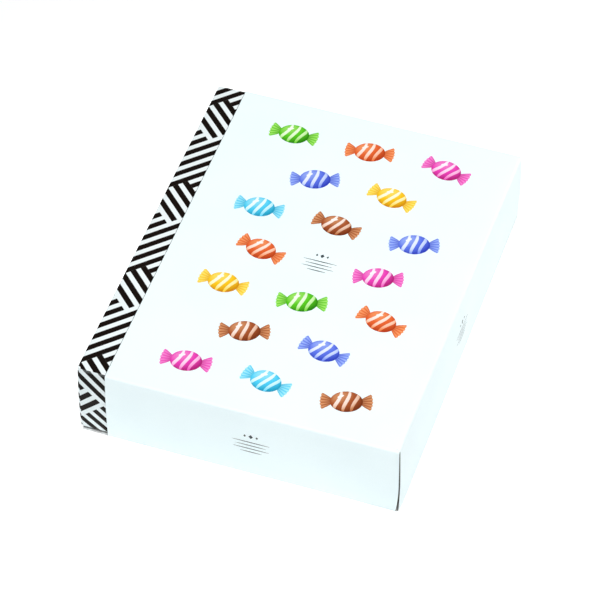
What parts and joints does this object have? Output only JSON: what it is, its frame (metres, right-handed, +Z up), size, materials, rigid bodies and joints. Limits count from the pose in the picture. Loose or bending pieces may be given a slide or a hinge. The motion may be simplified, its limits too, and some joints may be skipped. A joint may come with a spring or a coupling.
{
  "type": "gift box",
  "caption": "Shut flat card gift box of sweets, a white lid with three hanging flaps over a filled base with a striped end.",
  "frame": {"origin": "middle of the footprint, on the surface that the box stands on", "axes": "+Z up through the lid, +Y along the long side to the back, +X from the striped end to the right"},
  "size_m": [0.1994, 0.254, 0.0535],
  "materials": {
    "white_card": "smooth coated, satin",
    "striped_card": "coated, black ink stripes on white, satin"
  },
  "bodies": {
    "root": {"lid": "white_card", "base": "striped_card"}
  },
  "joints": []
}
